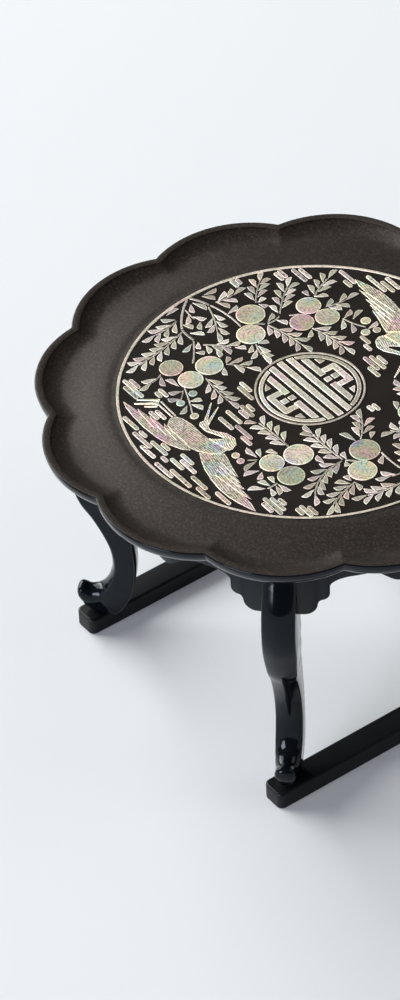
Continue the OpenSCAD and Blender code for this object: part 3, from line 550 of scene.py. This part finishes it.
# Down a leg: front offset and height share, back offset and height share, half width, and how
# far the section has turned from a bowed box (0) to an oval (1). Offsets are from the toe line.
# The first rows draw the neck in under the tray.
STATIONS = [
    (0.5, 1.000, -10.5, 1.000, HALF_TOP, 0), (0.6, 0.950, -10.4, 0.960, HALF_TOP, 0),
    (2.2, 0.920, -10.2, 0.930, HALF_TOP, 0), (5.6, 0.880, -10.1, 0.895, HALF_TOP, 0),
    (9.0, 0.840, -10.0, 0.865, HALF_TOP, 0), (12.1, 0.800, -10.0, 0.835, HALF_TOP, 0),
    (14.3, 0.757, -10.0, 0.800, HALF_TOP, 0), (15.4, 0.710, -10.3, 0.760, HALF_TOP, 0),
    (14.9, 0.660, -11.2, 0.717, HALF_TOP, 0), (12.8, 0.608, -12.5, 0.675, HALF_TOP, 0),
    (7.8, 0.516, -16.5, 0.586, (HALF_TOP + HALF_ANKLE) / 2, 0),
    (0.9, 0.446, -20.0, 0.490, HALF_ANKLE, 0), (-5.1, 0.373, -22.7, 0.395, HALF_ANKLE, 0),
    (-9.4, 0.300, -24.7, 0.306, HALF_ANKLE, 0), (-10.6, 0.227, -25.3, 0.227, HALF_ANKLE, 0),
    (-8.8, 0.177, -24.5, 0.166, HALF_ANKLE, 0), (-6.2, 0.142, -22.5, 0.107, HALF_ANKLE, 0),
    (-3.0, 0.118, -19.0, 0.057, HALF_ANKLE, 0.1), (1.0, 0.106, -11.5, 0.000, HALF_ANKLE, 0.3),
    (4.7, 0.104, 0.5, 0.000, (HALF_ANKLE + HALF_TOE) / 2, 0.6),
    (7.6, 0.113, 7.3, 0.016, HALF_TOE, 0.9), (9.6, 0.114, 9.8, 0.036, HALF_TOE * 0.96, 1),
    (11.3, 0.108, 11.4, 0.050, HALF_TOE * 0.82, 1), (12.3, 0.099, 12.4, 0.062, HALF_TOE * 0.58, 1),
    (12.8, 0.088, 12.8, 0.074, HALF_TOE * 0.26, 1)]
STATION_STEPS = 6
FRONT_STEPS = 12


def spline(a, b, c, d, t):
    """Smooth curve through four numbers, from b at t = 0 to c at t = 1."""
    return b + 0.5 * t * (c - a + t * (2 * a - 5 * b + 4 * c - d + t * (3 * (b - c) + d - a)))


def station(i, t):
    """The six numbers of a station at the share t of the way from row i to the next."""
    def row(k):
        return STATIONS[max(0, min(len(STATIONS) - 1, k))]
    values = [spline(row(i - 1)[k], row(i)[k], row(i + 1)[k], row(i + 2)[k], t) for k in range(4)]
    return values + [row(i)[k] + (row(i + 1)[k] - row(i)[k]) * t * t * (3 - 2 * t) for k in (4, 5)]


def leg_outline(depth, half, bow, r, oval):
    """Round the section: distance from the back, sideways; flat back and bowed front with eased
    corners, turned by the share oval into an oval of the same depth and width."""
    ease = min(LEG_EASE, depth * 0.2, half * 0.3)
    side = depth - bow
    left = [(r * (1 - math.cos(a * DEG)), half - r * (1 - math.sin(a * DEG))) for a in (0, 30, 60, 90)]
    left += [(side - ease, half), (side - MID_EASE * ease, half - 0.105 * ease)]
    front = []
    for k in range(FRONT_STEPS, -FRONT_STEPS - 1, -1):
        share = k / FRONT_STEPS
        front.append((depth - bow * (1 - ease / half) ** 2 * share ** 2, (half - ease * 0.8) * share))
    box = left + front + [(x, -y) for x, y in reversed(left)]
    ring = []
    for k, (x, y) in enumerate(box):
        a = math.pi * (1 - 2 * (k + 1) / (len(box) + 1))
        ring.append((x * (1 - oval) + depth / 2 * (1 + math.cos(a)) * oval,
                     y * (1 - oval) + half * math.sin(a) * oval))
    return ring


def leg_ring(s):
    """Section of a leg on the +X axis at the station s."""
    front = Vector((s[0], s[1] * LEG_H))
    back = Vector((s[2], max(0, s[3]) * LEG_H))
    depth = (front - back).length
    along = (front - back) / depth
    bow = min(FRONT_BOW * s[4] / HALF_TOP, depth * 0.45)
    r = min(BACK_R, depth * 0.25, s[4] * 0.4)
    return [(FOOT_REACH + back.x + along.x * x, y, RUNNER_H + back.y + along.y * x)
            for x, y in leg_outline(depth, s[4], bow, r, s[5])]


def make_legs():
    rings = [leg_ring(station(i, k / STATION_STEPS))
             for i in range(len(STATIONS) - 1) for k in range(STATION_STEPS)]
    rings.append(leg_ring(STATIONS[-1]))
    verts, faces = loft(rings)
    for name, angle in LEGS:
        leg = mesh_piece(f"leg_{name}_lacquered", turned(verts, angle), faces, GLOSS, 40)
        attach(leg, "root")
        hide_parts(f"leg_{name}")


make_legs()


def make_top_dowels():
    """The solids' dowels moved inwards, so that the drawn-in necks of the legs cover them."""
    section = [(FOOT_REACH - DOWEL_IN + DOWEL_R * math.cos(a * DEG), DOWEL_R * math.sin(a * DEG))
               for a in range(0, 360, 15)]
    rings = [[(x, y, z) for x, y in section] for z in (UNDER_Z - DOWEL_L, UNDER_Z + DOWEL_UP)]
    points, sides = loft(rings)
    verts, faces = [], []
    for _, angle in LEGS:
        faces += [tuple(len(verts) + j for j in side) for side in sides]
        verts += turned(points, angle)
    dowels = mesh_piece("top_dowels_bamboo", verts, faces, BAMBOO, 40)
    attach(dowels, "root")
    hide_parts("top_dowels")


make_top_dowels()

# ------------------------------------------------------------------ aprons

EDGE_STEP = 1


def quarter(x, y, rx, ry, start, end, steps):
    """Arc about a middle with two radii, from one angle to another."""
    angles = [(start + (end - start) * i / steps) * DEG for i in range(steps + 1)]
    return [(x + rx * math.cos(a), y + ry * math.sin(a)) for a in angles]


def hang(s):
    """Height of the arch over an apron's lowest edge, with a drop below the tray's next lobe."""
    drop_s = APRON_R * 2 * math.pi / LOBES
    if abs(s - drop_s) < DROP_HALF:
        return ARCH_RISE - DROP_DEPTH * (1 + math.cos(math.pi * (s - drop_s) / DROP_HALF)) / 2
    return ARCH_RISE


def apron_edge():
    """Lower edge from one leg to the next: distance along the face, height over its lowest."""
    end_s = HALF_TOP - TONGUE + GROOVE_GAP
    middle_s = APRON_R * math.pi / 4
    arch_s = SCROLL_2 + ARCH_HALF
    half = [(end_s, 0)]
    half += quarter(SCROLL_1 - SCROLL_1_R, SCROLL_1_R, SCROLL_1_R, SCROLL_1_R, 270, 360, 12)
    half.append((SCROLL_1 + SCROLL_1_LEAN, SCROLL_RISE))
    half += quarter(SCROLL_2 - SCROLL_2_R, SCROLL_RISE + SCROLL_2_UP, SCROLL_2_R, SCROLL_2_R, 270, 360, 10)
    half += quarter(arch_s, ARCH_RISE - ARCH_CURVE, ARCH_HALF - ARCH_LEAN, ARCH_CURVE, 180, 90, 12)
    s = arch_s + EDGE_STEP
    while s < middle_s - 0.6 * EDGE_STEP:
        half.append((s, hang(s)))
        s += EDGE_STEP
    return half + [(middle_s, hang(middle_s))] + [(2 * middle_s - x, z) for x, z in reversed(half)]


def apron_ring(s, rise, inner):
    """Section of a bent board at a point of its lower edge, whose two corners are eased. The
    direction inner points up into the board."""
    back_r = APRON_R - APRON_T
    easing = [(APRON_R, 1), (APRON_R - MID_EASE * APRON_EASE, MID_EASE), (APRON_R - APRON_EASE, 0),
              (back_r + APRON_EASE, 0), (back_r + MID_EASE * APRON_EASE, MID_EASE), (back_r, 1)]
    corners = []
    for r, share in easing:
        into = APRON_EASE * share
        corners.append((r, s + inner[0] * into, APRON_LOW + rise + inner[1] * into))
    corners += [(back_r, s, UNDER_Z), (APRON_R, s, UNDER_Z)]
    ring = []
    for r, along, z in corners:
        a = along / APRON_R - math.pi / 4
        ring.append((r * math.cos(a), r * math.sin(a), z))
    return ring


def make_aprons():
    edge = apron_edge()
    rings = []
    for i, (s, rise) in enumerate(edge):
        before, after = edge[max(0, i - 1)], edge[min(len(edge) - 1, i + 1)]
        run = Vector((after[0] - before[0], after[1] - before[1])).normalized()
        rings.append(apron_ring(s, rise, (-run.y, run.x)))
    verts, faces = loft(rings)
    for name, angle in (("right", 0), ("back", 90), ("left", 180), ("front", -90)):
        apron = mesh_piece(f"apron_{name}_lacquered", turned(verts, angle), faces, GLOSS, 32)
        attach(apron, "root")
        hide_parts(f"apron_{name}")


make_aprons()

# ------------------------------------------------------------------ runners


def runner_ring(inset, z):
    """Plan of a bar with rounded corners, drawn in by the inset."""
    r = RUNNER_R - inset
    corner_x, corner_y = RUNNER_W / 2 - RUNNER_R, RUNNER_HALF_L - RUNNER_R
    ring = []
    for sx, sy, start in ((1, 1, 0), (-1, 1, 90), (-1, -1, 180), (1, -1, 270)):
        ring += [(x, y, z) for x, y in quarter(sx * corner_x, sy * corner_y, r, r, start, start + 90, 8)]
    return ring


def make_runners():
    """Bars with rounded plan corners and a soft eased upper edge."""
    rings = [runner_ring(RUNNER_FOOT_EASE, 0), runner_ring(0, RUNNER_FOOT_EASE)]
    for a in range(0, 91, 15):
        c, s = math.cos(a * DEG), math.sin(a * DEG)
        rings.append(runner_ring(RUNNER_EASE * (1 - c), RUNNER_H - RUNNER_EASE * (1 - s)))
    verts, faces = loft(rings)
    for name, x in (("right", RUNNER_X), ("left", -RUNNER_X)):
        moved = [(x + p[0], p[1], p[2]) for p in verts]
        runner = mesh_piece(f"runner_{name}_lacquered", moved, faces, BLACK, 35)
        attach(runner, "root")
        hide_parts(f"runner_{name}")


make_runners()

# ------------------------------------------------------------------ shell inlay

WELD = 2e-6  # metres, closes the seams of a read mesh
TOP_SLACK = 1e-6  # metres
BEVEL = 0.12  # eased upper edges of the shell
LEVEL_FACE = 0.99  # upward part of the normal of a level face
# Shares of the border's width that are tried, widest first, where a piece is narrow
BORDER_SHARES = (1, 0.8, 0.6, 0.45, 0.3, 0.15, 0.05)


def islands(bm):
    """The separate solids of a mesh, each as a list of faces."""
    left = set(bm.faces)
    found = []
    for face in bm.faces:
        if face not in left:
            continue
        left.discard(face)
        group, stack = [], [face]
        while stack:
            here = stack.pop()
            group.append(here)
            for edge in here.edges:
                for other in edge.link_faces:
                    if other in left:
                        left.discard(other)
                        stack.append(other)
        found.append(group)
    return found


def long_axis(points):
    """Middle and direction of the longest spread of points, seen from above."""
    middle = sum(points, Vector((0, 0, 0))) / len(points)
    xx = sum((p.x - middle.x) ** 2 for p in points)
    yy = sum((p.y - middle.y) ** 2 for p in points)
    xy = sum((p.x - middle.x) * (p.y - middle.y) for p in points)
    angle = 0.5 * math.atan2(2 * xy, xx - yy)
    return middle, Vector((math.cos(angle), math.sin(angle), 0))


def gap_to(p, a, b):
    """Distance of a point from the line between two others."""
    run = b - a
    t = max(0.0, min(1.0, (p - a).dot(run) / max(run.length_squared, 1e-18)))
    return (p - a - run * t).length


def inner_outline(outer, width):
    """The outline of a flat face drawn in by a width, or by less where the face is narrow."""
    n = len(outer)
    runs = [(outer[(i + 1) % n] - outer[i]).normalized() for i in range(n)]
    inner = []
    for i, p in enumerate(outer):
        into = [Vector((-r.y, r.x, 0)) for r in (runs[i - 1], runs[i])]
        middle = into[0] + into[1]
        if middle.length < 0.2:  # a needle's tip stays where it is
            inner.append(p)
            continue
        middle.normalize()
        step = middle * width / max(0.5, middle.dot(into[1]))
        for share in BORDER_SHARES:
            q = p + step * share
            if all(gap_to(q, outer[k], outer[(k + 1) % n]) > 0.8 * share * width for k in range(n)):
                break
        inner.append(q)
    for i in range(n):
        j = (i + 1) % n
        if (inner[j] - inner[i]).dot(runs[i]) < 0:  # the two have passed each other
            inner[i] = inner[j] = (inner[i] + inner[j]) / 2
    return inner


def border_in(bm, face, width, mark):
    """Split a band along the outline off a flat top face, and mark what it leaves with 0."""
    outer = list(face.verts)
    inner = [bm.verts.new(q) for q in inner_outline([v.co.copy() for v in outer], width)]
    bm.faces.remove(face)
    for i, v in enumerate(inner):
        v[mark] = 0
        bm.faces.new((outer[i - 1], outer[i], v, inner[i - 1]))
    bm.faces.new(inner)


def eased_copy(node):
    """The mesh of a node with its flat faces whole and its upper edges eased."""
    bm = bmesh.new()
    bm.from_mesh(nodes[node].data)
    bmesh.ops.remove_doubles(bm, verts=bm.verts, dist=WELD)
    bmesh.ops.dissolve_limit(bm, angle_limit=1 * DEG, verts=bm.verts, edges=bm.edges)
    top = FIELD_Z * MM - TOP_SLACK
    rim = [e for e in bm.edges if all(v.co.z > top for v in e.verts) and len(e.link_faces) == 2
           and any(f.normal.z < 0.5 for f in e.link_faces)]
    bmesh.ops.bevel(bm, geom=rim, offset=BEVEL * MM, segments=2, profile=0.6, affect="EDGES",
                    clamp_overlap=True)
    # A fresh copy, so that what is cut in later is numbered the same way in each run.
    fresh = bm.copy()
    bm.free()
    return fresh


def mark_painted_highlight_edge(bm, border):
    """A number "edge" at each point, 1 along the edge and 0 in the middle of the top faces; the shell
    materials paint a highlight where it is 1.
    """
    mark = bm.verts.layers.float.new("edge")
    for v in bm.verts:
        v[mark] = 1
    top = FIELD_Z * MM - TOP_SLACK
    for face in [f for f in bm.faces if f.normal.z > LEVEL_FACE and f.calc_center_median().z > top]:
        if border:
            border_in(bm, face, border * MM, mark)
        else:
            for v in face.verts:
                v[mark] = 0
    bm.normal_update()


def map_solids(bm, rng):
    """Each solid's own place in the map "piece", and its chance numbers in the map "chance"."""
    local = bm.loops.layers.uv.new("piece")
    chance = bm.loops.layers.uv.new("chance")
    for group in islands(bm):
        middle, along = long_axis([v.co for f in group for v in f.verts])
        across = Vector((-along.y, along.x, 0))
        pair = (rng.random(), rng.random())
        for face in group:
            face.smooth = abs(face.normal.z) < LEVEL_FACE
            for loop in face.loops:
                offset = (loop.vert.co - middle) / MM / PIECE_UNIT
                loop[local].uv = (offset.dot(along), offset.dot(across))
                loop[chance].uv = pair


def shell_piece(node, material, border):
    """The node's solids again, dressed for the material: eased upper edges, a border along the
    top faces that carries the painted edge highlight, and the maps that tell one solid from another."""
    bm = eased_copy(node)
    mark_painted_highlight_edge(bm, border)
    map_solids(bm, random.Random(node))
    mesh = bpy.data.meshes.new(node + "_cut")
    bm.to_mesh(mesh)
    bm.free()
    mesh.materials.append(material)
    piece = bpy.data.objects.new(node + "_cut", mesh)
    scene.collection.objects.link(piece)
    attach(piece, "root")
    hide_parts(node)


# Node, material, slot and width of the border that carries the painted edge highlight
for node, material, slot, border in (
        ("border_ring", SHELL_RING, "shell_white", 0),
        ("medallion_ring", SHELL_RING, "shell_white", 0),
        ("medallion_band", SHELL_BAR, "shell_white", 0.35),
        ("medallion_fret", SHELL_BAR, "shell_white", 0.35),
        ("boughs", SHELL_BOUGH, "shell_white", 0),
        ("berries", SHELL_FRUIT, "shell_white", 0.4),
        ("peaches", SHELL_FRUIT, "shell_pink", 0.5),
        ("leaves", SHELL_LEAF, "shell_green", 0.35),
        ("clouds", SHELL_CLOUD, "shell_white", 0.45),
        ("crane_front", SHELL_BIRD, "shell_green", 0.35),
        ("crane_back", SHELL_BIRD, "shell_green", 0.35)):
    shell_piece(node, material, border)

# ------------------------------------------------------------------ floor and room, in metres

PALE = (0.80, 0.832, 0.856)
FLOOR_HALF = 8
FLOOR_Z = -0.0002
# Distances from the middle between which the floor fades into the backdrop's colour
FADE_START, FADE_END = 0.74, 1.6
# Brightness of the room at the sine of a height over the horizon, and that sine at the top of
# the pale backdrop that glossy pieces reflect
SKY = [(0.0, 0.05), (0.3, 0.06), (0.7, 0.11), (1.0, 0.15)]
BACKDROP_TOP = 0.02


def floor_material():
    """Pale floor whose far parts, where they are looked at, show the backdrop's colour."""
    m = Material("studio_floor")
    colour = m.ramp(m.noise(scale=1.2, detail=2), [(0.3, PALE), (0.7, tuple(c * 1.02 for c in PALE))])
    m.set(Base_Color=colour, Roughness=0.8)
    x, y, _ = m.split(m.coords)
    far = m.spread(m.length(x, y), 0, 1, FADE_START, FADE_END)
    ray = m.add("ShaderNodeLightPath").outputs
    looked_at = m.math("MAXIMUM", ray["Is Glossy Ray"], ray["Is Transmission Ray"])
    looked_at = m.math("MAXIMUM", ray["Is Camera Ray"], looked_at)
    glow = m.add("ShaderNodeEmission")
    glow.inputs["Color"].default_value = (*PALE, 1)
    blend = m.add("ShaderNodeMixShader")
    m.join(m.math("MULTIPLY", far, looked_at), blend.inputs[0])
    m.join(m.bsdf.outputs[0], blend.inputs[1])
    m.join(glow.outputs[0], blend.inputs[2])
    m.join(blend.outputs[0], m.tree.nodes["Material Output"].inputs["Surface"])
    return m.mat


def make_floor():
    h = FLOOR_HALF
    mesh = bpy.data.meshes.new("studio_floor")
    mesh.from_pydata([(-h, -h, 0), (h, -h, 0), (h, h, 0), (-h, h, 0)], [], [(0, 1, 2, 3)])
    mesh.materials.append(floor_material())
    floor = bpy.data.objects.new("studio_floor", mesh)
    floor.location.z = FLOOR_Z
    scene.collection.objects.link(floor)


def make_world():
    """Plain pale backdrop to the eye; to the light, a dim room under a brighter ceiling."""
    world = bpy.data.worlds.new("studio")
    scene.world = world
    w = Nodes(world)
    _, _, height = w.split(w.add("ShaderNodeTexCoord").outputs["Generated"])
    ray = w.add("ShaderNodeLightPath").outputs
    looked_at = w.math("MAXIMUM", ray["Is Camera Ray"], ray["Is Transmission Ray"])
    low = w.spread(height, 1, 0, BACKDROP_TOP * 0.5, BACKDROP_TOP)
    backdrop = w.math("MAXIMUM", looked_at, w.math("MULTIPLY", ray["Is Glossy Ray"], low))
    sky = w.ramp(height, [(place, (level * 0.985, level, level * 1.015)) for place, level in SKY])
    w.join(w.mix(backdrop, sky, PALE), w.tree.nodes["Background"].inputs["Color"])


make_floor()
make_world()

# ------------------------------------------------------------------ lights, in metres

LIGHT_AIM = Vector((0, 0, 0.1))
WARM, COOL, WHITE = (1, 1, 0.975), (0.985, 0.97, 1.1), (1, 1, 1)


def softbox(name, azimuth, height, distance, size, power, colour):
    """Softbox aimed at the table from an azimuth and a height in degrees."""
    az, el = azimuth * DEG, height * DEG
    toward = Vector((math.cos(az) * math.cos(el), math.sin(az) * math.cos(el), math.sin(el)))
    data = bpy.data.lights.new(name, "AREA")
    data.shape = "RECTANGLE"
    data.size, data.size_y = size
    data.energy = power
    data.color = colour
    light = bpy.data.objects.new(name, data)
    light.location = LIGHT_AIM + toward * distance
    light.rotation_mode = "QUATERNION"
    light.rotation_quaternion = (-toward).to_track_quat("-Z", "Y")
    scene.collection.objects.link(light)


softbox("key", 195.01, 36, 9, (9.4, 4.4), 765, WARM)
softbox("low", 196.99, 16, 9, (9.4, 2.4), 700, WARM)
softbox("side", 276.91, 15, 9, (4, 3), 560, COOL)
softbox("fill", 53.13, 32, 6, (3.6, 2.6), 42, WHITE)
